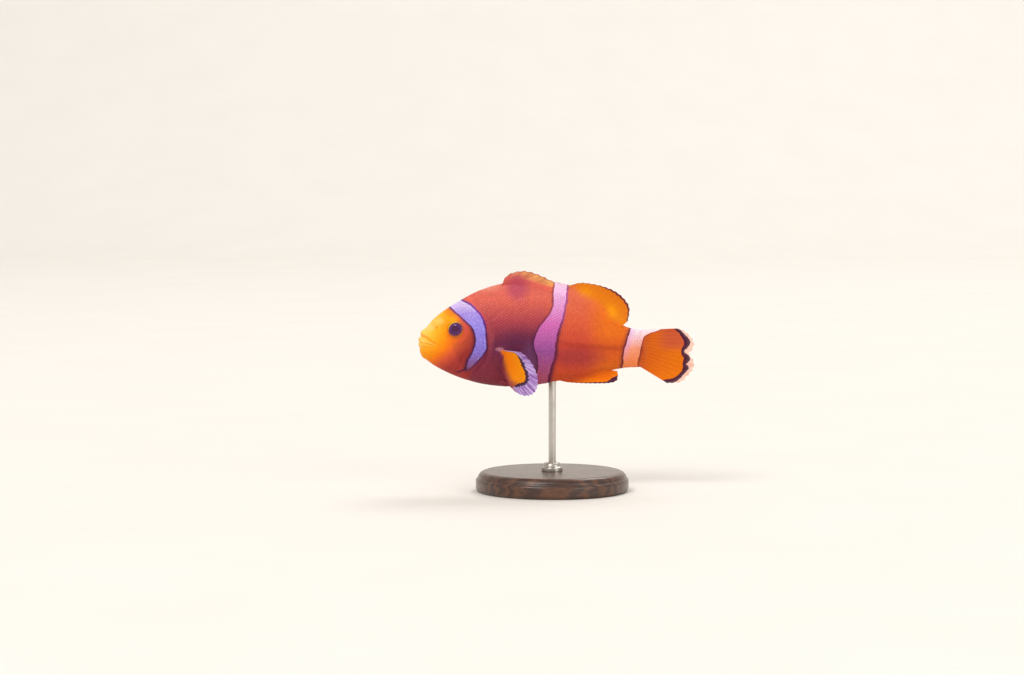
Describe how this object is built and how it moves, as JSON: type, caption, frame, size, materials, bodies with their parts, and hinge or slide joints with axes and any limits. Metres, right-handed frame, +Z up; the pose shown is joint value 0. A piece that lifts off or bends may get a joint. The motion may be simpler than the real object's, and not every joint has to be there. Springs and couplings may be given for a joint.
{
  "type": "clownfish model",
  "caption": "Life-size still model of an orange anemonefish with three white bands, swimming with its fins spread, held over a small round stand by one slim rod.",
  "frame": {"origin": "centre of the underside of the stand's round base, on the axis of the rod", "axes": "+Z up along the rod; -X the way the fish faces, so +X runs along it from the snout to the tail; -Y the fish's left side"},
  "size_m": [0.083, 0.046, 0.0663],
  "materials": {
    "skin": "wet-looking scaled skin, orange with black-edged white bands",
    "fin": "thin rayed membrane, orange with a black edge and a clear margin",
    "eye": "clear wet cornea over an orange ring and a black pupil",
    "base": "dark stained and waxed hardwood",
    "metal": "satin drawn rod"
  },
  "bodies": {
    "root": {"head": "skin", "lower_jaw": "skin", "gill_cover_left": "skin", "gill_cover_right": "skin", "trunk": "skin", "tail_stem": "skin", "eye_left": "eye", "eye_right": "eye", "dorsal_fin_spiny": "fin", "dorsal_fin_soft": "fin", "anal_fin": "fin", "tail_fin": "fin", "pectoral_fin_left": "fin", "pectoral_fin_right": "fin", "pelvic_fin_left": "fin", "pelvic_fin_right": "fin", "stand_base": "base", "stand_collar": "metal", "stand_rod": "metal"}
  },
  "joints": []
}
